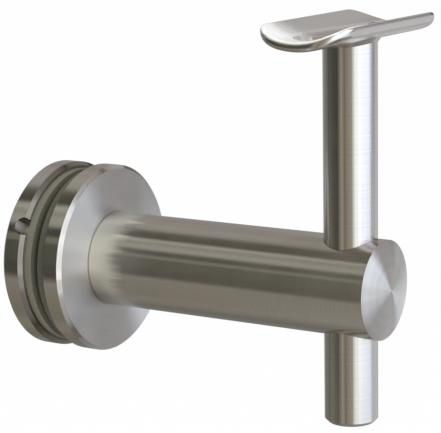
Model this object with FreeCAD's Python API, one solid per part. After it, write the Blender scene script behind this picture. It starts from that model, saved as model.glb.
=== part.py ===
"""Handrail bracket for a glass balustrade: two clamping discs, an arm, a stem and a saddle.

Frame: the origin is on the arm's axis, in the plane where the front gasket meets the glass.
+X runs out along the arm, +Y along the handrail, +Z up. All sizes are in millimetres.
"""
import FreeCAD, Part
import math
import os

from FreeCAD import Vector

# ---------------------------------------------------------------- driving sizes
# clamping discs, one on each side of the glass
disc_diameter = 52.0
disc_thickness = 6.5
disc_chamfer = 1.0

# rings of clear PVC that keep the steel off the glass
gasket_diameter = 48.5
gasket_thickness = 2.2
glass_gap = 2.2             # space left between the gaskets, as the bracket is supplied

# tapped boss on the rear disc, which passes through the hole in the glass
boss_diameter = 14.0
boss_length = 9.0
boss_end_play = 0.6         # room in front of the boss in the front disc's recess
back_wall = 2.5             # steel left behind the tapped hole
sleeve_wall = 2.0           # nylon sleeve that centres the boss in the glass
sleeve_length = 5.8

# notch for a hook spanner, cut through the front edge of the rear disc's rim
notch_diameter = 4.8
notch_depth = 4.0           # measured inwards from the rim
notch_setback = 1.0         # from the disc's front face back to the notch's centre
notch_angle = 27.5          # above the horizontal, on the -Y side

# M8 socket head cap screw that draws the discs together
screw_diameter = 8.0
screw_length = 16.0
screw_head_diameter = 13.0
screw_head_height = 8.0
screw_key = 6.0             # across the flats of the hexagon socket
screw_key_depth = 4.0

# spigot on the front disc, which carries the arm
spigot_diameter = 19.0
spigot_length = 14.0
groove_depth = 0.8
groove_width = 5.6

# arm, a solid bar
arm_diameter = 26.0
arm_length = 84.0           # from the front disc to the edge of the domed end
dome_height = 2.0
arm_edge = 0.3              # chamfer that shows as the joint line against the disc
stem_setback = 9.7          # from the edge of the domed end back to the stem's axis
arm_bore_relief = 1.0       # room beyond the spigot in the arm's bore

# grub screws: M5 under the arm locks it on the spigot, M6 behind it locks the stem
arm_grub_diameter = 5.0
arm_grub_recess = 0.4       # from the arm's surface in to the screw's head
arm_grub_key = 2.5
arm_grub_from_disc = 6.2
stem_grub_diameter = 6.0
stem_grub_recess = 0.9
stem_grub_key = 3.0
grub_key_depth = 2.2
grub_edge = 0.5

# stem, a round bar that slides up and down in the arm
stem_diameter = 14.0
stem_drop = 36.0            # from the arm's axis down to the stem's lower end
stem_chamfer = 1.0

# saddle, a plate bent to the handrail's tube and welded on the stem
tube_diameter = 42.4
saddle_thickness = 2.5
saddle_width = 25.0         # straight across the plate, along X
saddle_length = 58.0        # along the handrail
saddle_corner = 8.0         # corner radius of the flat blank
saddle_edge = 0.5           # bevel of the plate's upper and lower rims
saddle_height = 65.8        # from the arm's axis up to the lowest line of the cradle
weld_size = 1.0
rail_screw_hole = 5.0       # for the screws that hold the tube
rail_screw_head = 9.0       # mouth of the countersink, on the underside
rail_screw_spacing = 40.0

# ---------------------------------------------------------------- clearances
slide_play = 0.08           # each side of a part that slides or turns
thread_play = 0.05          # each side of a screw, whose thread is drawn as a plain cylinder
screw_hole_play = 0.3       # each side of a screw or a head in a plain hole
sleeve_play = 0.1           # each side between the sleeve and the boss
tip_gap = 0.1               # between a grub screw's tip and what it presses on

# ---------------------------------------------------------------- places that follow from them
X_AXIS = Vector(1, 0, 0)
Y_AXIS = Vector(0, 1, 0)
Z_AXIS = Vector(0, 0, 1)

front_disc_back = gasket_thickness
front_disc_face = front_disc_back + disc_thickness
rear_gasket_face = -glass_gap
rear_disc_face = rear_gasket_face - gasket_thickness
rear_disc_back = rear_disc_face - disc_thickness
boss_end = rear_disc_face + boss_length
recess_end = boss_end + boss_end_play
sleeve_radius = boss_diameter / 2 + sleeve_play + sleeve_wall
gasket_hole_radius = sleeve_radius + screw_hole_play
spigot_end = front_disc_face + spigot_length
dome_edge = front_disc_face + arm_length
stem_x = dome_edge - stem_setback
tube_radius = tube_diameter / 2
saddle_outer_radius = tube_radius + saddle_thickness
tube_axis_z = saddle_height + tube_radius


def cylinder(radius, start, end, axis=X_AXIS, through=Vector(0, 0, 0)):
    """Round bar from start to end along an axis that passes through a point."""
    return Part.makeCylinder(radius, end - start, through + axis * start, axis)


def turned(profile, axis=X_AXIS, through=Vector(0, 0, 0), across=Z_AXIS):
    """Solid of revolution. The profile is a list of (place along the axis, radius)."""
    points = [through + axis * along + across * radius for along, radius in profile]
    face = Part.Face(Part.makePolygon(points + points[:1]))
    return face.revolve(through, axis, 360)


def hexagon_bar(across_flats, start, end, axis, through=Vector(0, 0, 0)):
    """Hexagonal bar, the form of a key's socket."""
    side = Y_AXIS if abs(axis.z) > 0.5 or abs(axis.x) > 0.5 else X_AXIS
    other = axis.cross(side)
    corner_radius = across_flats / math.sqrt(3)
    corners = []
    for number in range(6):
        angle = math.radians(60 * number)
        corners.append(through + axis * start
                       + side * (corner_radius * math.cos(angle))
                       + other * (corner_radius * math.sin(angle)))
    face = Part.Face(Part.makePolygon(corners + corners[:1]))
    return face.extrude(axis * (end - start))


def grub_screw(diameter, key, tip, head, outward, through):
    """Socket set screw that reaches outwards from its tip to its head."""
    radius = diameter / 2
    body = turned([(tip, 0), (tip, radius - grub_edge), (tip + grub_edge, radius),
                   (head - grub_edge, radius), (head, radius - grub_edge), (head, 0)],
                  outward, through, X_AXIS if abs(outward.x) < 0.5 else Z_AXIS)
    return body.cut(hexagon_bar(key, head - grub_key_depth, head, outward, through))


# ---------------------------------------------------------------- clamp
def disc_profile(back, face):
    """Half section of a clamping disc with both its rims chamfered."""
    radius = disc_diameter / 2
    return [(back, 0), (back, radius - disc_chamfer), (back + disc_chamfer, radius),
            (face - disc_chamfer, radius), (face, radius - disc_chamfer), (face, 0)]


def make_rear_disc():
    """Disc and tapped boss in one piece, turned from bar."""
    disc = turned(disc_profile(rear_disc_back, rear_disc_face))
    boss = cylinder(boss_diameter / 2, rear_disc_face, boss_end)
    tapped = cylinder(screw_diameter / 2 + thread_play, rear_disc_back + back_wall, boss_end)
    # the notch is drilled towards the axis, so its floor is flat and its sides are round
    angle = math.radians(notch_angle)
    outward = Vector(0, -math.cos(angle), math.sin(angle))
    centre = Vector(rear_disc_face - notch_setback, 0, 0)
    rim = disc_diameter / 2
    notch = cylinder(notch_diameter / 2, rim - notch_depth, rim + notch_depth, outward, centre)
    return disc.fuse(boss).cut(tapped).cut(notch).removeSplitter()


def make_gasket(back):
    """Flat ring that backs one disc."""
    ring = cylinder(gasket_diameter / 2, back, back + gasket_thickness)
    return ring.cut(cylinder(gasket_hole_radius, back, back + gasket_thickness))


def make_glass_sleeve():
    """Nylon bush on the boss."""
    start = rear_disc_face
    end = start + sleeve_length
    tube = cylinder(sleeve_radius, start, end)
    return tube.cut(cylinder(boss_diameter / 2 + sleeve_play, start, end))


def make_front_disc():
    """Disc and spigot in one piece: recessed behind for the boss, counterbored for the screw."""
    disc = turned(disc_profile(front_disc_back, front_disc_face))
    spigot = cylinder(spigot_diameter / 2, front_disc_face, spigot_end)
    blank = disc.fuse(spigot)
    recess = cylinder(boss_diameter / 2 + screw_hole_play, front_disc_back, recess_end)
    hole = cylinder(screw_diameter / 2 + screw_hole_play, front_disc_back, front_disc_face)
    head_room = cylinder(screw_head_diameter / 2 + screw_hole_play, front_disc_face, spigot_end)
    groove_middle = front_disc_face + arm_grub_from_disc
    groove_start = groove_middle - groove_width / 2
    groove_end = groove_middle + groove_width / 2
    groove = cylinder(disc_diameter / 2, groove_start, groove_end).cut(
        cylinder(spigot_diameter / 2 - groove_depth, groove_start, groove_end))
    return blank.cut(recess).cut(hole).cut(head_room).cut(groove).removeSplitter()


def make_clamp_screw():
    """Socket head cap screw, its head seated on the front disc's web."""
    seat = front_disc_face
    head_end = seat + screw_head_height
    radius = screw_diameter / 2
    head_radius = screw_head_diameter / 2
    body = turned([(seat - screw_length, 0), (seat - screw_length, radius - grub_edge),
                   (seat - screw_length + grub_edge, radius), (seat, radius),
                   (seat, head_radius), (head_end - grub_edge, head_radius),
                   (head_end, head_radius - grub_edge), (head_end, 0)])
    return body.cut(hexagon_bar(screw_key, head_end - screw_key_depth, head_end, X_AXIS))


# ---------------------------------------------------------------- arm
def make_arm():
    """Solid bar with a domed end, bored for the spigot and cross drilled for the stem."""
    radius = arm_diameter / 2
    bar = turned([(front_disc_face, 0), (front_disc_face, radius - arm_edge),
                  (front_disc_face + arm_edge, radius), (dome_edge, radius), (dome_edge, 0)])
    sphere_radius = (radius ** 2 + dome_height ** 2) / (2 * dome_height)
    sphere_centre = dome_edge + dome_height - sphere_radius
    dome = Part.makeSphere(sphere_radius, Vector(sphere_centre, 0, 0)).common(
        cylinder(radius, dome_edge, dome_edge + dome_height))
    blank = bar.fuse(dome)
    bore = cylinder(spigot_diameter / 2 + slide_play, front_disc_face,
                    spigot_end + arm_bore_relief)
    stem_place = Vector(stem_x, 0, 0)
    cross_radius = stem_diameter / 2 + slide_play
    cross_hole = cylinder(cross_radius, -arm_diameter, arm_diameter, Z_AXIS, stem_place)
    grub_place = Vector(front_disc_face + arm_grub_from_disc, 0, 0)
    arm_grub_hole = cylinder(arm_grub_diameter / 2 + thread_play, 0, arm_diameter,
                             Z_AXIS * -1, grub_place)
    stem_grub_hole = cylinder(stem_grub_diameter / 2 + thread_play, 0, arm_diameter,
                              Y_AXIS, stem_place)
    return blank.cut(bore).cut(cross_hole).cut(arm_grub_hole).cut(stem_grub_hole)


def make_arm_grub_screw():
    """Set screw under the arm, its tip in the spigot's groove."""
    tip = spigot_diameter / 2 - groove_depth + tip_gap
    place = Vector(front_disc_face + arm_grub_from_disc, 0, 0)
    head = arm_diameter / 2 - arm_grub_recess
    return grub_screw(arm_grub_diameter, arm_grub_key, tip, head, Z_AXIS * -1, place)


def make_stem_grub_screw():
    """Set screw behind the arm, its tip against the stem."""
    tip = stem_diameter / 2 + tip_gap
    place = Vector(stem_x, 0, 0)
    head = arm_diameter / 2 - stem_grub_recess
    return grub_screw(stem_grub_diameter, stem_grub_key, tip, head, Y_AXIS, place)


# ---------------------------------------------------------------- stem and saddle
def rim_edges(plate):
    """Edges where the plate's upper or lower face meets its cut outline."""
    rims = []
    for face in plate.Faces:
        if isinstance(face.Surface, Part.Cylinder) and abs(face.Surface.Axis.y) > 0.5:
            rims.extend(face.OuterWire.Edges)
    return rims


def make_saddle():
    """Plate with round corners, rolled to the tube and pierced for two countersunk screws."""
    half_width = saddle_width / 2
    half_length = saddle_length / 2
    axis_start = Vector(stem_x, -half_length, tube_axis_z)
    ring = Part.makeCylinder(saddle_outer_radius, saddle_length, axis_start, Y_AXIS).cut(
        Part.makeCylinder(tube_radius, saddle_length, axis_start, Y_AXIS))
    # the outline is cut straight down, and its corners are those of the rolled blank
    blank = Part.makeBox(saddle_width, saddle_length, tube_radius,
                         Vector(stem_x - half_width, -half_length, tube_axis_z - saddle_outer_radius))
    upright = [edge for edge in blank.Edges
               if abs(edge.Vertexes[0].X - edge.Vertexes[1].X) < 1e-6
               and abs(edge.Vertexes[0].Y - edge.Vertexes[1].Y) < 1e-6]
    plate = ring.common(blank.makeFillet(saddle_corner, upright))
    plate = plate.makeChamfer(saddle_edge, rim_edges(plate))
    for side in (-1, 1):
        place = Vector(stem_x, side * rail_screw_spacing / 2, 0)
        hole = cylinder(rail_screw_hole / 2, saddle_height - 2 * saddle_thickness,
                        saddle_height + saddle_thickness, Z_AXIS, place)
        # a 90 degree countersink whose mouth is on the underside
        mouth = saddle_height - saddle_thickness
        depth = (rail_screw_head - rail_screw_hole) / 2
        sink = turned([(mouth - depth, 0), (mouth - depth, rail_screw_head / 2 + depth),
                       (mouth + depth, rail_screw_hole / 2), (mouth + depth, 0)],
                      Z_AXIS, place, X_AXIS)
        plate = plate.cut(hole).cut(sink)
    return plate


def make_stem():
    """Round bar, chamfered below and coped above to the saddle's underside."""
    radius = stem_diameter / 2
    place = Vector(stem_x, 0, 0)
    bar = turned([(-stem_drop, 0), (-stem_drop, radius - stem_chamfer),
                  (-stem_drop + stem_chamfer, radius), (tube_axis_z, radius), (tube_axis_z, 0)],
                 Z_AXIS, place, X_AXIS)
    cope = Part.makeCylinder(saddle_outer_radius, saddle_length,
                             Vector(stem_x, -saddle_length / 2, tube_axis_z), Y_AXIS)
    return bar.cut(cope)


def make_saddle_weld(stem, saddle):
    """Fillet weld round the stem's top: what a bevel adds in the corner under the saddle."""
    joined = stem.fuse(saddle)
    radius = stem_diameter / 2
    seam = []
    for edge in joined.Edges:
        points = edge.discretize(9)
        on_stem = all(abs(math.hypot(p.x - stem_x, p.y) - radius) < 0.01 for p in points)
        on_saddle = all(abs(math.hypot(p.x - stem_x, p.z - tube_axis_z) - saddle_outer_radius) < 0.01
                        for p in points)
        if on_stem and on_saddle:
            seam.append(edge)
    return joined.makeChamfer(weld_size, seam).cut(stem).cut(saddle)


def main():
    """Build every piece and write it to its own STEP file."""
    stem = make_stem()
    saddle = make_saddle()
    pieces = {
        "rear_disc": make_rear_disc(),
        "rear_gasket": make_gasket(rear_disc_face),
        "glass_sleeve": make_glass_sleeve(),
        "front_gasket": make_gasket(0.0),
        "front_disc": make_front_disc(),
        "clamp_screw": make_clamp_screw(),
        "arm": make_arm(),
        "arm_grub_screw": make_arm_grub_screw(),
        "stem": stem,
        "stem_grub_screw": make_stem_grub_screw(),
        "saddle": saddle,
        "saddle_weld": make_saddle_weld(stem, saddle),
    }
    os.makedirs("parts", exist_ok=True)
    for name, shape in pieces.items():
        shape.exportStep("parts/" + name + ".step")
        box = shape.BoundBox
        print(f"{name:16s} valid {shape.isValid()} solids {len(shape.Solids)} "
              f"volume {shape.Volume:9.1f}  x {box.XMin:7.2f} {box.XMax:7.2f} "
              f"y {box.YMin:7.2f} {box.YMax:7.2f}  z {box.ZMin:7.2f} {box.ZMax:7.2f}")


main()
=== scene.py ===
# %% [markdown]
# # A glass-mounted handrail bracket in satin stainless steel
#
# The bracket is turned and rolled from stainless steel: two clamping discs, a round arm with a
# domed end, a stem that slides through the arm, and a saddle plate welded on the stem. Its form
# comes packed from the CAD model. What is left to do here is what the eye reads as steel: the
# tool marks of each way of machining, softened edges, and a room for the metal to reflect.
#
# Everything is in metres, in the frame of the CAD model: the arm points along +X, the handrail
# would lie along Y, and Z is up. The first cell loads the CAD pieces and a helper for a piece's
# box.

# %% Load the frame
import math

import bmesh
import bpy
import numpy as np
from mathutils import Matrix, Vector


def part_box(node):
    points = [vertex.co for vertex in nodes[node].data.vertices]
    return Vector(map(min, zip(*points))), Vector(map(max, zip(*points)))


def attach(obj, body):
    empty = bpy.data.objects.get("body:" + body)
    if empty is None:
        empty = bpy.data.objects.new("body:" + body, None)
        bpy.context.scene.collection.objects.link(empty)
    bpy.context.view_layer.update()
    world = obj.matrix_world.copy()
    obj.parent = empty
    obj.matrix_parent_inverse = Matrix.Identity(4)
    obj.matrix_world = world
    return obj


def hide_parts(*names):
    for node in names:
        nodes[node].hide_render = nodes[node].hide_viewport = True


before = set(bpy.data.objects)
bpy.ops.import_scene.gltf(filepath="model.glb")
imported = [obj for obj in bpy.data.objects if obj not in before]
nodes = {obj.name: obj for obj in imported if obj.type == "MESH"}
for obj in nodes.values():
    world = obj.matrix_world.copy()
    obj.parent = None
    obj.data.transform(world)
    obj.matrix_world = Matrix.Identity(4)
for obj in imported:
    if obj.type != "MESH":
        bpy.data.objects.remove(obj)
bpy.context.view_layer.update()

MM = 0.001

# %% [markdown]
# ## Measures
#
# A lathe part has an axis, so most of what follows is worked out about two of them: the arm's
# axis, which is the X axis itself, and the stem's axis, which is upright. The stem's place and the
# saddle's size are read from the boxes of the CAD nodes, so they aren't written down twice.

# %% Read the pieces' places
stem_low, stem_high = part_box("stem")
saddle_low, saddle_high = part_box("saddle")
stem_axis = Vector(((stem_low.x + stem_high.x) / 2, 0, 0))
print("stem axis at x =", round(stem_axis.x / MM, 2), "mm")

# %% [markdown]
# ## Camera
#
# A product picture is taken with a long lens from a little above, so that the arm and the stem
# hardly converge. The camera is given as a photographer would say it: how far round from the
# front, how high above the horizon, how far away, and the small tilt of a hand-held shot.

# %% Camera
CAMERA_ROUND = math.radians(31.983)
CAMERA_ABOVE = math.radians(11.195)
CAMERA_TILT = math.radians(-1.02)
CAMERA_DISTANCE = 0.490
CAMERA_TARGET = Vector((0.0459, -0.0036, 0.0157))
LENS_MM = 150.65

towards_camera = Vector((
    math.sin(CAMERA_ROUND) * math.cos(CAMERA_ABOVE),
    -math.cos(CAMERA_ROUND) * math.cos(CAMERA_ABOVE),
    math.sin(CAMERA_ABOVE),
))
level_right = Vector((0, 0, 1)).cross(towards_camera).normalized()
level_up = towards_camera.cross(level_right)
right = level_right * math.cos(CAMERA_TILT) + level_up * math.sin(CAMERA_TILT)
up = level_up * math.cos(CAMERA_TILT) - level_right * math.sin(CAMERA_TILT)
place = CAMERA_TARGET + towards_camera * CAMERA_DISTANCE

camera_data = bpy.data.cameras.new("product_camera")
camera_data.sensor_fit = "HORIZONTAL"
camera_data.sensor_width = 36
camera_data.lens = LENS_MM
camera = bpy.data.objects.new("product_camera", camera_data)
bpy.context.scene.collection.objects.link(camera)
camera.matrix_world = Matrix((
    (right.x, up.x, towards_camera.x, place.x),
    (right.y, up.y, towards_camera.y, place.y),
    (right.z, up.z, towards_camera.z, place.z),
    (0, 0, 0, 1),
))
bpy.context.scene.camera = camera
bpy.context.scene.view_settings.view_transform = "Standard"
print("camera at", [round(x, 3) for x in place])

# %% [markdown]
# ## Helpers for materials
#
# Colours are written as the hex values one would pick from a swatch. The renderer adds light, so
# it needs them in linear values, and one function turns one into the other. A second function
# adds a shader node together with its settings and its links.

# %% Colour and node helpers
def linear(hex_colour):
    """sRGB hex to linear RGBA: v / 12.92 below 0.04045, else ((v + 0.055) / 1.055) ** 2.4."""
    values = np.array([int(hex_colour[i:i + 2], 16) for i in (1, 3, 5)]) / 255
    curve = np.where(values <= 0.04045, values / 12.92, ((values + 0.055) / 1.055) ** 2.4)
    return (*curve, 1.0)


def add(tree, kind, inputs=None, **settings):
    """A node of one kind. inputs are socket: value, or socket: another node's output to link."""
    node = tree.nodes.new(kind)
    for name, value in settings.items():
        setattr(node, name, value)
    for socket, value in (inputs or {}).items():
        if isinstance(value, bpy.types.NodeSocket):
            tree.links.new(value, node.inputs[socket])
        else:
            node.inputs[socket].default_value = value
    return node


def new_material(name):
    """An empty node material: (material, its node tree, its output node)."""
    material = bpy.data.materials.new(name)
    material.use_nodes = True
    material.node_tree.nodes.clear()
    return material, material.node_tree, add(material.node_tree, "ShaderNodeOutputMaterial")


# %% [markdown]
# ## Stainless steel off a lathe
#
# A lathe tool leaves fine grooves that run round the axis. They hardly blur a reflection along
# the groove, and blur it strongly across. On a flat face that gives the fan of light and dark
# sectors seen on a record; on a round bar it draws the room out into long streaks along the bar.
#
# The shader does this with anisotropy, and has to be told the direction across the grooves at
# each point. That is the normal crossed with the direction round the axis, and it holds for
# faces, chamfers and rims alike. The cutting marks themselves are noise along the profile. Their
# real pitch is about 0.1 mm, too fine to show, so they are drawn about five times as coarse.

# %% Where a point lies about an axis
STEEL = "#CBC7C0"             # austenitic stainless steel, a warm light grey
STEEL_DEEP = "#BDB9B1"        # the same, in the bottom of a groove
STEEL_SHADED = "#857F74"  # the same, darker: painted shade in holes and between the discs
GROOVE_PITCH = 0.5 * MM
NOISE_LOW, NOISE_HIGH = 0.3, 0.7    # most of a noise's values lie between them
X_AXIS = (1.0, 0.0, 0.0)
Z_AXIS = (0.0, 0.0, 1.0)


def about_axis(tree, axis, through):
    """Sockets for a point P and its normal N, seen from an axis A through a point Q.

    along = (P - Q).A, radius = |A x (P - Q)|, facing = N.A, and across = N x (A x (P - Q)),
    turned to world directions, which runs across the grooves.
    """
    coordinates = add(tree, "ShaderNodeTexCoord")
    centred = add(tree, "ShaderNodeVectorMath", {0: coordinates.outputs["Object"], 1: through},
                  operation="SUBTRACT")
    round_axis = add(tree, "ShaderNodeVectorMath", {0: axis, 1: centred.outputs[0]},
                     operation="CROSS_PRODUCT")
    across = add(tree, "ShaderNodeVectorMath",
                 {0: coordinates.outputs["Normal"], 1: round_axis.outputs[0]},
                 operation="CROSS_PRODUCT")
    in_world = add(tree, "ShaderNodeVectorTransform", {0: across.outputs[0]},
                   vector_type="VECTOR", convert_from="OBJECT", convert_to="WORLD")
    radius = add(tree, "ShaderNodeVectorMath", {0: round_axis.outputs[0]}, operation="LENGTH")
    along = add(tree, "ShaderNodeVectorMath", {0: centred.outputs[0], 1: axis},
                operation="DOT_PRODUCT")
    facing = add(tree, "ShaderNodeVectorMath", {0: coordinates.outputs["Normal"], 1: axis},
                 operation="DOT_PRODUCT")
    return {"point": coordinates.outputs["Object"], "normal": coordinates.outputs["Normal"],
            "centred": centred.outputs[0], "across": in_world.outputs[0],
            "radius": radius.outputs["Value"], "along": along.outputs["Value"],
            "facing": facing.outputs["Value"]}


# %% Faces and walls of holes
FACE_LIMIT = 0.8    # cosine between normal and axis, above which a surface is a face
WALL_LIMIT = 0.45   # share of the normal that leads outwards, below which it is a hole's wall


def is_face(tree, seen):
    """1 where the surface looks along the axis: |facing| > FACE_LIMIT."""
    upright = add(tree, "ShaderNodeMath", {0: seen["facing"]}, operation="ABSOLUTE")
    return add(tree, "ShaderNodeMath", {0: upright.outputs[0], 1: FACE_LIMIT},
               operation="GREATER_THAN").outputs[0]


def is_shaded(tree, seen, face, shaded_from):
    """1 on walls of holes, and further along the axis than shaded_from.

    A normal leads outwards by (N.(P - Q) - facing * along) / radius. It is a guess that these
    places weren't polished. The darker colour given there is painted shade: in the holes, and
    between the discs past the rear disc's chamfer.
    """
    lead = add(tree, "ShaderNodeVectorMath", {0: seen["normal"], 1: seen["centred"]},
               operation="DOT_PRODUCT")
    axial = add(tree, "ShaderNodeMath", {0: seen["facing"], 1: seen["along"]},
                operation="MULTIPLY")
    away = add(tree, "ShaderNodeMath", {0: lead.outputs["Value"], 1: axial.outputs[0]},
               operation="SUBTRACT")
    outwards = add(tree, "ShaderNodeMath", {0: away.outputs[0], 1: seen["radius"]},
                   operation="DIVIDE")
    is_wall = add(tree, "ShaderNodeMath", {0: outwards.outputs[0], 1: WALL_LIMIT},
                  operation="LESS_THAN")
    in_hole = add(tree, "ShaderNodeMath", {0: is_wall.outputs[0], 1: face},
                  operation="SUBTRACT", use_clamp=True)
    if shaded_from is None:
        return in_hole.outputs[0]
    past_shade_start = add(tree, "ShaderNodeMath", {0: seen["along"], 1: shaded_from},
                   operation="GREATER_THAN")
    return add(tree, "ShaderNodeMath", {0: in_hole.outputs[0], 1: past_shade_start.outputs[0]},
               operation="MAXIMUM").outputs[0]


# %% [markdown]
# The next cell is a stand-in and not a finish. The bar is bright close to the disc, most likely
# because it mirrors the disc's face. The shader's own reflection stays too dim there, for a reason
# that wasn't found, and a lighter colour makes up for it. Being painted on, it turns with the bar,
# and it would look wrong under clearly different light.

# %% The disc mirrored in the bar
STEEL_BRIGHT = "#F5F2E4"      # the steel, with the light of the disc on it
BRIGHT_EDGE = 6 * MM          # length over which it fades out
STREAKS = 9.0                 # noise cells to one radius of the bar
STREAK_SPREAD = 14 * MM       # how far the streaks draw the edge out
DIM_BELOW, BRIGHT_ABOVE = -0.85, -0.35    # height of the normal, from the dark underside up


def mirrored_disc(tree, seen, bright_up_to):
    """1 from the disc to bright_up_to along the axis, with a streaky edge, 0 on the underside."""
    streaks = add(tree, "ShaderNodeTexNoise",
                  {"Vector": seen["normal"], "Scale": STREAKS, "Detail": 3.0})
    edge_at = add(tree, "ShaderNodeMath",
                  {0: streaks.outputs["Fac"], 1: -STREAK_SPREAD, 2: seen["along"]},
                  operation="MULTIPLY_ADD")
    bright = add(tree, "ShaderNodeMapRange",
                 {"Value": edge_at.outputs[0], "From Min": bright_up_to - STREAK_SPREAD / 2,
                  "From Max": bright_up_to - STREAK_SPREAD / 2 - BRIGHT_EDGE},
                 interpolation_type="SMOOTHSTEP")
    height = add(tree, "ShaderNodeSeparateXYZ", {0: seen["normal"]})
    not_below = add(tree, "ShaderNodeMapRange",
                    {"Value": height.outputs["Z"], "From Min": DIM_BELOW,
                     "From Max": BRIGHT_ABOVE})
    return add(tree, "ShaderNodeMath", {0: bright.outputs[0], 1: not_below.outputs[0]},
               operation="MULTIPLY").outputs[0]


# %% Turned steel
WEAR_SIZE = 9 * MM     # patches left by handling and polishing
WEAR = 0.07            # and how much they change the roughness


def turned_steel(name, axis, through, bar_roughness, face_roughness, marks_along,
                 shaded_from=None, bright_up_to=None):
    """Stainless steel with grooves round an axis that passes through a point.

    A surface that looks along the axis is a face, and the rest is a bar or a rim. The marks vary
    along the axis on a bar (marks_along = True), or with the radius on a disc.
    """
    material, tree, output = new_material(name)
    seen = about_axis(tree, axis, through)
    grooves = add(tree, "ShaderNodeTexNoise",
                  {"W": seen["along" if marks_along else "radius"], "Scale": 1 / GROOVE_PITCH,
                   "Detail": 2.0}, noise_dimensions="1D")
    colour = add(tree, "ShaderNodeMix",
                 {0: grooves.outputs["Fac"], 6: linear(STEEL_DEEP), 7: linear(STEEL)},
                 data_type="RGBA")
    if bright_up_to is not None:
        colour = add(tree, "ShaderNodeMix",
                     {0: mirrored_disc(tree, seen, bright_up_to), 6: colour.outputs[2],
                      7: linear(STEEL_BRIGHT)}, data_type="RGBA")
    face = is_face(tree, seen)
    # Walls of holes, and what lies past shaded_from, get darker steel: painted shade.
    tint = add(tree, "ShaderNodeMix",
               {0: is_shaded(tree, seen, face, shaded_from), 6: colour.outputs[2],
                7: linear(STEEL_SHADED)}, data_type="RGBA")
    satin = add(tree, "ShaderNodeMix", {0: face, 2: bar_roughness, 3: face_roughness})
    uneven = add(tree, "ShaderNodeTexNoise",
                 {"Vector": seen["point"], "Scale": 1 / WEAR_SIZE, "Detail": 3.0})
    wear = add(tree, "ShaderNodeMapRange",
               {"Value": uneven.outputs["Fac"], "From Min": NOISE_LOW, "From Max": NOISE_HIGH,
                "To Min": 1 - WEAR, "To Max": 1 + WEAR})
    roughness = add(tree, "ShaderNodeMath", {0: satin.outputs[0], 1: wear.outputs[0]},
                    operation="MULTIPLY")
    shader = add(tree, "ShaderNodeBsdfPrincipled",
                 {"Base Color": tint.outputs[2], "Metallic": 1.0,
                  "Roughness": roughness.outputs[0], "Anisotropic": 1.0,
                  "Tangent": seen["across"]})
    tree.links.new(shader.outputs[0], output.inputs[0])
    return material


CHAMFER_FROM = -5.45 * MM    # where the rear disc's front chamfer starts
MIRROR_TO = 21 * MM          # where the light near the disc ends on the arm
turned_disc = turned_steel("turned_stainless_disc", X_AXIS, (0, 0, 0), 0.19, 0.41, False)
# The rear disc is darker from its front chamfer on: painted shade between the discs.
rear_turned_disc = turned_steel("turned_stainless_rear_disc", X_AXIS, (0, 0, 0), 0.19, 0.41,
                                False, shaded_from=CHAMFER_FROM)
turned_arm = turned_steel("satin_stainless_arm", X_AXIS, (0, 0, 0), 0.22, 0.34, True,
                          bright_up_to=MIRROR_TO)
turned_stem = turned_steel("bright_stainless_stem", Z_AXIS, tuple(stem_axis), 0.18, 0.35, True)
print("turned steel for discs, arm and stem, grooves", GROOVE_PITCH / MM, "mm apart")

# %% [markdown]
# ## The other materials
#
# The saddle is a plate: cut, rolled, and buffed by hand after welding, so it has no grooves that
# run one way. The screws are bought, cold formed and left plain. The gaskets are clear PVC, which
# between two steel discs looks grey green, and the sleeve in the glass is moulded black nylon.
# Both gaskets are taken for the same plastic. The front one is written darker, which stands in
# for the shade between the discs.

# %% Buffed steel
BUFFING = 0.15    # how much the clouds change the roughness


def buffed_steel(name, colour, roughness, cloud_mm):
    """Hand-buffed stainless steel: soft clouds of slightly different gloss, cloud_mm apart.

    Returns the material, its shader and the clouds, for what is laid over it.
    """
    material, tree, output = new_material(name)
    coordinates = add(tree, "ShaderNodeTexCoord")
    clouds = add(tree, "ShaderNodeTexNoise",
                 {"Vector": coordinates.outputs["Object"], "Scale": 1 / (cloud_mm * MM),
                  "Detail": 4.0})
    gloss = add(tree, "ShaderNodeMapRange",
                {"Value": clouds.outputs["Fac"], "From Min": NOISE_LOW, "From Max": NOISE_HIGH,
                 "To Min": roughness * (1 - BUFFING), "To Max": roughness * (1 + BUFFING)})
    bump = add(tree, "ShaderNodeBump",
               {"Height": clouds.outputs["Fac"], "Strength": 0.25, "Distance": 0.01 * MM})
    shader = add(tree, "ShaderNodeBsdfPrincipled",
                 {"Base Color": linear(colour), "Metallic": 1.0, "Roughness": gloss.outputs[0],
                  "Normal": bump.outputs[0]})
    tree.links.new(shader.outputs[0], output.inputs[0])
    return material, shader, clouds


# %% [markdown]
# The next cell is a stand-in too. One end of the saddle is nearly white, which is most likely a
# highlight and not a finish, and the cards don't give that much light. The upward face is made
# paler and less metallic there, with a cloudy edge.

# %% The painted highlight on the saddle's near end
# Painted highlight: its pale colour, where it starts, how it fades in, and how much metal it takes
# away.
PALE = "#FBFBF9"
HIGHLIGHT_FROM = -8 * MM        # along the rail
HIGHLIGHT_LENGTH = 14 * MM      # over which it grows to its full strength
HIGHLIGHT_CLOUDS = 6 * MM       # how far the clouds shift its edge
HIGHLIGHT_METAL = 0.85          # share of the metal that it takes away
LEVEL_FROM, LEVEL_TO = 0.4, 0.8    # height of the normal, from sloping to level


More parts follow.
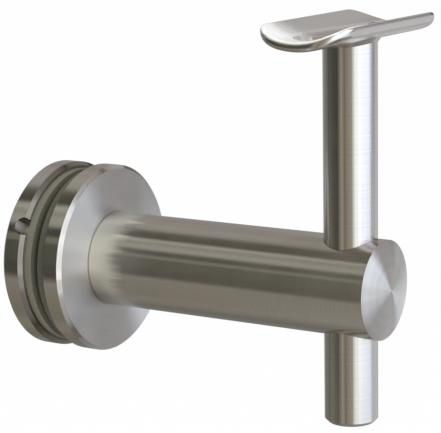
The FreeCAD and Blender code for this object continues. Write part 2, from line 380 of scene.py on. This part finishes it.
def lay_highlight(material, shader, clouds, colour):
    """Paints a highlight, pale and less metallic, where y < HIGHLIGHT_FROM and it looks up."""
    tree = material.node_tree
    coordinates = add(tree, "ShaderNodeTexCoord")
    place = add(tree, "ShaderNodeSeparateXYZ", {0: coordinates.outputs["Object"]})
    cloudy = add(tree, "ShaderNodeMath",
                 {0: clouds.outputs["Fac"], 1: HIGHLIGHT_CLOUDS, 2: place.outputs["Y"]},
                 operation="MULTIPLY_ADD")
    looks_up = add(tree, "ShaderNodeSeparateXYZ", {0: coordinates.outputs["Normal"]})
    on_top = add(tree, "ShaderNodeMapRange",
                 {"Value": looks_up.outputs["Z"], "From Min": LEVEL_FROM, "From Max": LEVEL_TO})
    painted_highlight = add(tree, "ShaderNodeMapRange",
               {"Value": cloudy.outputs[0], "From Min": HIGHLIGHT_FROM,
                "From Max": HIGHLIGHT_FROM - HIGHLIGHT_LENGTH}, interpolation_type="SMOOTHSTEP")
    share = add(tree, "ShaderNodeMath", {0: painted_highlight.outputs[0], 1: on_top.outputs[0]},
                operation="MULTIPLY")
    metal = add(tree, "ShaderNodeMath", {0: share.outputs[0], 1: -HIGHLIGHT_METAL, 2: 1.0},
                operation="MULTIPLY_ADD")
    pale = add(tree, "ShaderNodeMix", {0: share.outputs[0], 6: linear(colour), 7: linear(PALE)},
               data_type="RGBA")
    tree.links.new(metal.outputs[0], shader.inputs["Metallic"])
    tree.links.new(pale.outputs[2], shader.inputs["Base Color"])


# %% Plastics
def moulded_plastic(name, colour, darker, roughness, ior, grain_mm):
    """Soft moulded plastic with a faint grain and cloudy colour."""
    material, tree, output = new_material(name)
    coordinates = add(tree, "ShaderNodeTexCoord")
    grain = add(tree, "ShaderNodeTexNoise",
                {"Vector": coordinates.outputs["Object"], "Scale": 1 / (grain_mm * MM),
                 "Detail": 3.0})
    tint = add(tree, "ShaderNodeMix",
               {0: grain.outputs["Fac"], 6: linear(darker), 7: linear(colour)}, data_type="RGBA")
    bump = add(tree, "ShaderNodeBump",
               {"Height": grain.outputs["Fac"], "Strength": 0.2, "Distance": 0.02 * MM})
    shader = add(tree, "ShaderNodeBsdfPrincipled",
                 {"Base Color": tint.outputs[2], "Roughness": roughness, "IOR": ior,
                  "Normal": bump.outputs[0]})
    tree.links.new(shader.outputs[0], output.inputs[0])
    return material


# %% Every CAD node gets its finish
PVC_IOR = NYLON_IOR = 1.53
buffed_plate, plate_shader, plate_clouds = buffed_steel("buffed_stainless_plate", STEEL, 0.22, 4.0)
lay_highlight(buffed_plate, plate_shader, plate_clouds, STEEL)
plain_screw = buffed_steel("cold_formed_stainless_screw", "#A8A49C", 0.35, 1.5)[0]
lit_pvc = moulded_plastic("soft_pvc_gasket_rear", "#7B7A6B", "#6C6B5B", 0.35, PVC_IOR, 1.2)
shaded_pvc = moulded_plastic("soft_pvc_gasket_front", "#5B5A4D", "#4E4D42", 0.35, PVC_IOR, 1.2)
black_nylon = moulded_plastic("moulded_nylon_sleeve", "#1C1C1D", "#161617", 0.5, NYLON_IOR, 0.8)

finishes = {
    "rear_disc": rear_turned_disc, "front_disc": turned_disc,
    "rear_gasket": lit_pvc, "front_gasket": shaded_pvc, "glass_sleeve": black_nylon,
    "arm": turned_arm, "stem": turned_stem, "saddle": buffed_plate, "saddle_weld": buffed_plate,
    "clamp_screw": plain_screw, "arm_grub_screw": plain_screw, "stem_grub_screw": plain_screw,
}
for node_name, finish in finishes.items():
    nodes[node_name].data.materials.clear()
    nodes[node_name].data.materials.append(finish)
print("finished", len(finishes), "CAD nodes")

# %% [markdown]
# ## The saddle
#
# The saddle is a flat blank with rounded corners, rolled to the radius of the handrail. Its rims
# are ground round, which the CAD solid only has as a small bevel, so a finer plate takes its
# place. It could be a box with a Bevel modifier, but the two countersunk holes would spoil the
# bevel. Instead each half is a grid drawn from its screw hole out to the outline, so that every
# line of the grid ends on a real edge, and the other half is its mirror image.

# %% Outline of half a blank
TUBE_RADIUS = 21.2 * MM     # of the handrail that lies in the saddle
TUBE_HEIGHT = 87.0 * MM     # from the arm's axis up to the handrail's
PLATE = 2.5 * MM            # thickness
RIM = 1.15 * MM             # rounding of the rims
CORNER = 8.0 * MM           # corners of the flat blank
HOLE_AT = 20.0 * MM         # from the middle
HOLE_RADIUS, HEAD_RADIUS = 2.5 * MM, 4.5 * MM
half_width = (saddle_high.x - saddle_low.x) / 2
half_length = saddle_high.y


def half_outline():
    """Points and outward directions round the half of the outline that has y > 0.

    Up one straight side, a quarter circle, across the end, a quarter circle, down the other side.
    """
    side = np.linspace(0, half_length - CORNER, 24, endpoint=False)
    turn = np.radians(np.linspace(0, 90, 13))
    end = np.linspace(half_width - CORNER, 0, 6)[1:]
    right_half = np.concatenate([
        np.stack([np.full_like(side, half_width), side], axis=1),
        np.stack([half_width - CORNER + CORNER * np.cos(turn),
                  half_length - CORNER + CORNER * np.sin(turn)], axis=1),
        np.stack([end, np.full_like(end, half_length)], axis=1)])
    outward = np.concatenate([
        np.tile([1.0, 0.0], (len(side), 1)), np.stack([np.cos(turn), np.sin(turn)], axis=1),
        np.tile([0.0, 1.0], (len(end), 1))])
    flip = np.array([-1.0, 1.0])
    return (np.concatenate([right_half, right_half[-2::-1] * flip]),
            np.concatenate([outward, outward[-2::-1] * flip]))


outline, outward = half_outline()
print("half outline has", len(outline), "points")

# %% Roll the blank
def rolled(plan, depth):
    """Plan points (x, y) at a depth below the tube, on the tube's cylinder.

    z = tube height - sqrt((tube radius + depth)^2 - x^2), and x moves to the stem's axis.
    """
    x, y = plan[..., 0], plan[..., 1]
    drop = np.sqrt((TUBE_RADIUS + depth) ** 2 - x ** 2)
    return np.stack([x + stem_axis.x, y, TUBE_HEIGHT - drop], axis=-1)


def from_hole(radius, edge, steps):
    """Grid from a circle round the hole to an edge loop: circle + t * (edge - circle)."""
    away = edge - np.array([0, HOLE_AT])
    circle = np.array([0, HOLE_AT]) + radius * away / np.linalg.norm(away, axis=1, keepdims=True)
    t = np.linspace(0, 1, steps)[None, :, None]
    return circle[:, None] + t * (edge - circle)[:, None]


inset = outline - RIM * outward
cut = np.linspace(-(half_width - RIM), half_width - RIM, 25)[1:]
loop = np.concatenate([inset, np.stack([cut, np.zeros_like(cut)], axis=1)])
rim_turn = np.radians(np.linspace(0, 90, 9))
rim_out = RIM * np.concatenate([np.sin(rim_turn), np.sin(rim_turn)[::-1]])
rim_down = RIM * (1 - np.cos(rim_turn))
rim_depth = np.concatenate([rim_down, PLATE - rim_down[::-1]])
hole_edge = from_hole(HOLE_RADIUS, loop, 2)[:, 0]
head_edge = from_hole(HEAD_RADIUS, loop, 2)[:, 0]
sink = np.linspace(0, 1, 5)[None, :, None]
half_plate = [
    rolled(from_hole(HEAD_RADIUS, loop, 26), 0.0),                                  # top face
    rolled(from_hole(HOLE_RADIUS, loop, 26), PLATE)[:, ::-1],                       # underside
    rolled(inset[:, None] + rim_out[None, :, None] * outward[:, None], rim_depth),  # round rim
    rolled(hole_edge[:, None] + sink * (head_edge - hole_edge)[:, None],            # countersink
           (HEAD_RADIUS - HOLE_RADIUS) * (1 - sink[..., 0])),
    rolled(np.repeat(hole_edge[:, None], 2, axis=1), np.array([PLATE, HEAD_RADIUS - HOLE_RADIUS])),
]
print("half plate is", len(half_plate), "grids")

# %% Skin the saddle
def grid_faces(points, first):
    """Faces of one grid whose points are numbered from first, normals along columns x rows."""
    rows, columns = points.shape[:2]
    corner = first + (np.arange(rows - 1)[:, None] * columns + np.arange(columns - 1)).ravel()
    return np.stack([corner, corner + 1, corner + columns + 1, corner + columns], axis=1)


def skin(name, grids, material, sharp_degrees=35):
    """One closed mesh from grids that share their edges."""
    first = np.cumsum([0] + [grid.shape[0] * grid.shape[1] for grid in grids])
    points = np.concatenate([grid.reshape(-1, 3) for grid in grids])
    faces = np.concatenate([grid_faces(grid, start) for grid, start in zip(grids, first)])
    mesh = bpy.data.meshes.new(name)
    mesh.from_pydata(points, [], faces)
    shell = bmesh.new()
    shell.from_mesh(mesh)
    bmesh.ops.remove_doubles(shell, verts=shell.verts, dist=0.001 * MM)
    open_edges = sum(not edge.is_manifold for edge in shell.edges)
    shell.to_mesh(mesh)
    shell.free()
    mesh.polygons.foreach_set("use_smooth", np.ones(len(mesh.polygons), bool))
    mesh.set_sharp_from_angle(angle=math.radians(sharp_degrees))
    mesh.materials.append(material)
    made = bpy.data.objects.new(name, mesh)
    bpy.context.scene.collection.objects.link(made)
    print(name, "has", len(mesh.polygons), "faces,", open_edges, "open edges")
    return made


mirror = np.array([1.0, -1.0, 1.0])
other_half = [grid[::-1] * mirror for grid in half_plate]
saddle = skin("saddle_plate", [*half_plate, *other_half], buffed_plate)
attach(saddle, "rail_support")
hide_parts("saddle")

# %% [markdown]
# ## The room
#
# Polished metal has no look of its own: it shows its surroundings. A photographer sets cards
# round the object and watches what each does to the streaks. Here the cards are curved sheets
# with a plain colour of light, which only reflections see. Each colour is given as the steel
# should show it, and is divided by the steel's own colour to get the card's.
#
# The colours below weren't picked by eye, and they aren't those of a plain studio. Light adds up,
# so what each card alone gives to each spot of the steel was worked out, and the set that comes
# nearest to the wanted tones was solved by least squares, several times over as cards were added.
# The most colourful ones were then made greyer. The strips are narrow because the streaks are.

# %% Cards for the reflections
CARD_DISTANCE = 2.0
NEAR_REACH, FAR_REACH = 2.8, 7.0
STRIP_POINTS, PANEL_POINTS = 9, 17
STEEL_MEAN = "#C4C0B9"    # half way between the steel's two tints


def card_light(shown, level):
    """Emission material whose reflection in the steel has the shown colour, times the level."""
    material, tree, output = new_material("card_" + shown[1:])
    colour = np.array(linear(shown)[:3]) / np.array(linear(STEEL_MEAN)[:3])
    light = add(tree, "ShaderNodeEmission", {"Color": (*colour, 1.0), "Strength": level})
    tree.links.new(light.outputs[0], output.inputs[0])
    return material


def surface(name, points, material):
    """Mesh of a grid of points, shape (rows, columns, 3), as one smooth sheet."""
    faces = grid_faces(points, 0)
    mesh = bpy.data.meshes.new(name)
    mesh.from_pydata(points.reshape(-1, 3), [], faces)
    mesh.polygons.foreach_set("use_smooth", np.ones(len(faces), bool))
    mesh.materials.append(material)
    made = bpy.data.objects.new(name, mesh)
    bpy.context.scene.collection.objects.link(made)
    return made


def reflection_only(card):
    """Only glossy rays see the card. It throws no shadow and lights nothing else."""
    card.visible_camera = False
    card.visible_diffuse = False
    card.visible_shadow = False
    card.visible_transmission = False


def strip(start, end, from_x, to_x, shown):
    """A card that runs along the arm: an arc about the X axis, 0 = -Y, 90 = up, in degrees."""
    angle, along = np.meshgrid(np.radians(np.linspace(start, end, STRIP_POINTS)),
                               np.array([from_x, to_x]), indexing="ij")
    points = np.stack([along, -CARD_DISTANCE * np.cos(angle), CARD_DISTANCE * np.sin(angle)],
                      axis=2)
    reflection_only(surface("card_strip_%d" % start, points, card_light(shown, 1.0)))


def panel(start, end, bottom, top, shown, reach=NEAR_REACH, level=1.0):
    """An upright card: an arc about Z, 0 = -Y, 90 = +X, between two heights, in degrees."""
    turn, height = np.meshgrid(np.radians(np.linspace(start, end, PANEL_POINTS)),
                               np.radians(np.linspace(bottom, top, PANEL_POINTS)), indexing="ij")
    points = np.stack([reach * np.sin(turn) * np.cos(height),
                       -reach * np.cos(turn) * np.cos(height), reach * np.sin(height)], axis=2)
    reflection_only(surface("card_panel_%d_%d" % (start, bottom), points,
                            card_light(shown, level)))


# %% Strips along the arm, all the way round it
LEFT_END, LEFT_START = -5.0, -0.75
for start, end, shown in (
        (-180, -150, "#83807C"), (-150, -128, "#696763"), (-128, -104, "#635F56"),
        (-104, -82, "#766F62"), (-82, -68, "#675F51"), (-68, -58, "#6B6356"),
        (-58, -50, "#70685C"), (-50, -43, "#716A5E"), (-43, -36, "#746E63"),
        (-36, -30, "#76726A"), (-30, -25, "#7F7A71"), (-25, -20, "#5B564F"),
        (-20, -15, "#2D2724"), (-15, -10, "#393531"), (-10, -5, "#33302C"), (-5, -1, "#383731"),
        (-1, 3, "#3B3B34"), (3, 7, "#3B3B33"), (7, 11, "#393B30"), (11, 15, "#3D3E33"),
        (15, 19, "#393A2F"), (19, 23, "#3A3A2F"), (23, 27, "#626157"), (27, 31, "#646257"),
        (31, 35, "#232219"), (35, 39, "#1B1A19"), (39, 43, "#1B1A19"), (43, 47, "#837F73"),
        (47, 51, "#8D8A82"), (51, 55, "#939083"), (55, 59, "#868277"), (59, 63, "#767367"),
        (63, 67, "#9A978C"), (67, 71, "#B0ABA0"), (71, 75, "#4A4636"), (75, 79, "#1D1B19"),
        (79, 83, "#3F3B2B"), (83, 87, "#201F19"), (87, 91, "#433A2D"), (91, 95, "#443E32"),
        (95, 99, "#7E7C72"), (99, 103, "#8F8C81"), (103, 107, "#8B877E"), (107, 111, "#8D8A7E"),
        (111, 115, "#99958C"), (115, 121, "#8F8A80"), (121, 128, "#87837B"),
        (128, 140, "#908B84"), (140, 160, "#7D736D"), (160, 180, "#7D7874")):
    strip(start, end, LEFT_END, LEFT_START, shown)

# %% Panels past the end of the strips, and in the gaps above and below
for start, end, bottom, top, shown in (
        (-125, -100, -30, 30, "#706E69"), (-100, -90, -30, 30, "#6A6965"),
        (-90, -80, -30, 30, "#64625D"), (-80, -70, -30, 30, "#464445"),
        (-70, -60, -30, 30, "#1B1A19"), (-60, -21, -30, 45, "#8E8878"),
        (-180, 0, 80, 90, "#1B1A19"), (0, 180, 80, 90, "#1B1A19"), (-159, -90, 45, 80, "#7E7068"),
        (-90, -21, 45, 80, "#70695B"), (-180, 180, -90, -70, "#75726F"),
        (-159, -90, -70, -30, "#767170"), (-90, -21, -70, -30, "#AEACA8")):
    panel(start, end, bottom, top, shown, FAR_REACH)

# %% Panels from the camera's left round to the right and the back
for start, end, bottom, top, shown in (
        (-21, -15, -70, 80, "#666153"), (-15, -10, -70, 80, "#817A6C"),
        (-10, -5, -70, 80, "#8E8679"), (-5, 2, -70, 80, "#80766A"), (2, 8, -70, 80, "#6B6255"),
        (8, 15, -70, 80, "#7B7165"), (15, 22, -70, 80, "#837B6D"), (22, 30, -70, 80, "#8A8376"),
        (30, 38, -70, 80, "#918B7F"), (38, 76, -30, -16, "#CFD0CD"),
        (76, 100, -30, -16, "#D7DAD4"), (100, 130, -30, -16, "#DBDDE8"),
        (130, 145, -30, -8, "#B4B6B6"), (130, 145, -8, 8, "#7C7578"),
        (130, 145, 8, 20, "#BFBCBC"), (145, 160, -30, 0, "#ADAAAA"),
        (160, 175, -30, 0, "#AEACAB"), (175, 201, -30, 0, "#989591"),
        (145, 160, 0, 20, "#867F7B"), (160, 175, 0, 20, "#3F3131"), (175, 201, 0, 20, "#645C56"),
        (38, 76, -70, -30, "#9F9C9A"), (76, 120, -70, -30, "#5A5049"),
        (120, 160, -70, -30, "#78736E"), (160, 201, -70, -30, "#878683"),
        (130, 160, 20, 45, "#6D605C"), (160, 201, 20, 45, "#9B9793"), (38, 76, 45, 80, "#EBE6E5"),
        (76, 120, 45, 80, "#88817A"), (120, 160, 45, 80, "#9B968F"),
        (160, 201, 45, 80, "#302224")):
    panel(start, end, bottom, top, shown)

# %% The window, which is brighter than white
WINDOW_LEVEL = 2.0
for start, end, bottom, top, shown in (
        (38, 46, -16, 20, "#90908A"), (46, 60, -16, -8, "#BCBBB8"), (46, 60, -8, 4, "#B7B8B6"),
        (46, 60, 4, 20, "#B2B3B1"), (60, 76, -16, -8, "#D7D7D9"), (60, 76, -8, 4, "#B7B8BB"),
        (60, 76, 4, 20, "#C8C9C8"), (76, 96, -16, -8, "#BEC0CA"), (76, 96, -8, 4, "#B7B7C5"),
        (76, 96, 4, 20, "#D0D4DD"), (96, 112, -16, -3, "#AAADB1"), (96, 112, -3, 20, "#C7CCD4"),
        (112, 121, -16, -3, "#959694"), (112, 121, -3, 8, "#AFB4BD"),
        (112, 121, 8, 20, "#ECF4FA"), (121, 130, -16, -3, "#626460"),
        (121, 130, -3, 8, "#9B9EA5"), (121, 130, 8, 20, "#D4DAE2"), (38, 76, 20, 45, "#A7A8A4"),
        (76, 105, 20, 45, "#BAC0C7"), (105, 118, 20, 45, "#C0C5CD"),
        (118, 130, 20, 45, "#514C58")):
    panel(start, end, bottom, top, shown, level=WINDOW_LEVEL)

# %% [markdown]
# ## Floor, world and lamps
#
# The bracket hangs on glass, so nothing stands on the floor, a pale sheet far below. Seen by the
# camera it is nearly all its own white, so the shadow that falls on it is too faint to notice.
# Past the object the camera sees plain white, and so does a reflection that misses the cards. The
# lamps are two large soft boxes at the level that shows a colour about as written.

# %% World
def seen_directly(tree):
    """1 for camera, glossy and transmission rays, else 0."""
    path = add(tree, "ShaderNodeLightPath")
    both = add(tree, "ShaderNodeMath", {0: path.outputs["Is Camera Ray"],
                                        1: path.outputs["Is Glossy Ray"]}, operation="MAXIMUM")
    return add(tree, "ShaderNodeMath",
               {0: both.outputs[0], 1: path.outputs["Is Transmission Ray"]},
               operation="MAXIMUM").outputs[0]


ROOM_LIGHT = 0.7    # of white, for light that falls on matt things
world = bpy.data.worlds.new("studio")
bpy.context.scene.world = world
world.use_nodes = True
world.node_tree.nodes.clear()
level = add(world.node_tree, "ShaderNodeMapRange",
            {"Value": seen_directly(world.node_tree), "To Min": ROOM_LIGHT, "To Max": 1.0})
sky = add(world.node_tree, "ShaderNodeBackground",
          {"Color": linear("#FFFFFF"), "Strength": level.outputs[0]})
add(world.node_tree, "ShaderNodeOutputWorld", {0: sky.outputs[0]})
print("world is white to the eye and", ROOM_LIGHT, "of it as light")

# %% Floor
FLOOR_DROP = 0.45
FLOOR_REACH = 6.0
FLOOR_GLOW = 0.97   # share of its own white, where it is seen directly
floor_material, tree, output = new_material("pale_floor")
matte = add(tree, "ShaderNodeBsdfDiffuse", {"Color": linear("#FAFAFA")})
white = add(tree, "ShaderNodeEmission", {"Color": linear("#FFFFFF"), "Strength": 1.0})
share = add(tree, "ShaderNodeMath", {0: seen_directly(tree), 1: FLOOR_GLOW},
            operation="MULTIPLY")
floor_mix = add(tree, "ShaderNodeMixShader",
                {0: share.outputs[0], 1: matte.outputs[0], 2: white.outputs[0]})
tree.links.new(floor_mix.outputs[0], output.inputs[0])

edge = np.linspace(-FLOOR_REACH, FLOOR_REACH, 3)
floor_y, floor_x = np.meshgrid(edge, edge, indexing="ij")
floor = surface("floor", np.stack([floor_x, floor_y, np.full_like(floor_x, -FLOOR_DROP)], axis=2),
                floor_material)
floor.visible_glossy = False       # the cards and the white world take its place there
print("floor", FLOOR_DROP, "m below the arm")

# %% Lamps
LAMP_SIZE = 1.2


def soft_box(name, place, watts):
    """Square area lamp that faces the object. Reflections see the cards instead of it."""
    data = bpy.data.lights.new(name, "AREA")
    data.shape = "SQUARE"
    data.size = LAMP_SIZE
    data.energy = watts
    lamp = bpy.data.objects.new(name, data)
    bpy.context.scene.collection.objects.link(lamp)
    lamp.location = place
    lamp.rotation_mode = "QUATERNION"
    lamp.rotation_quaternion = Vector(place).to_track_quat("Z", "Y")
    lamp.visible_glossy = False
    print(name, "at", place, "with", watts, "W")


soft_box("window_light", (1.6, -0.9, 0.8), 14.0)
soft_box("top_light", (-0.3, -0.3, 1.8), 10.0)
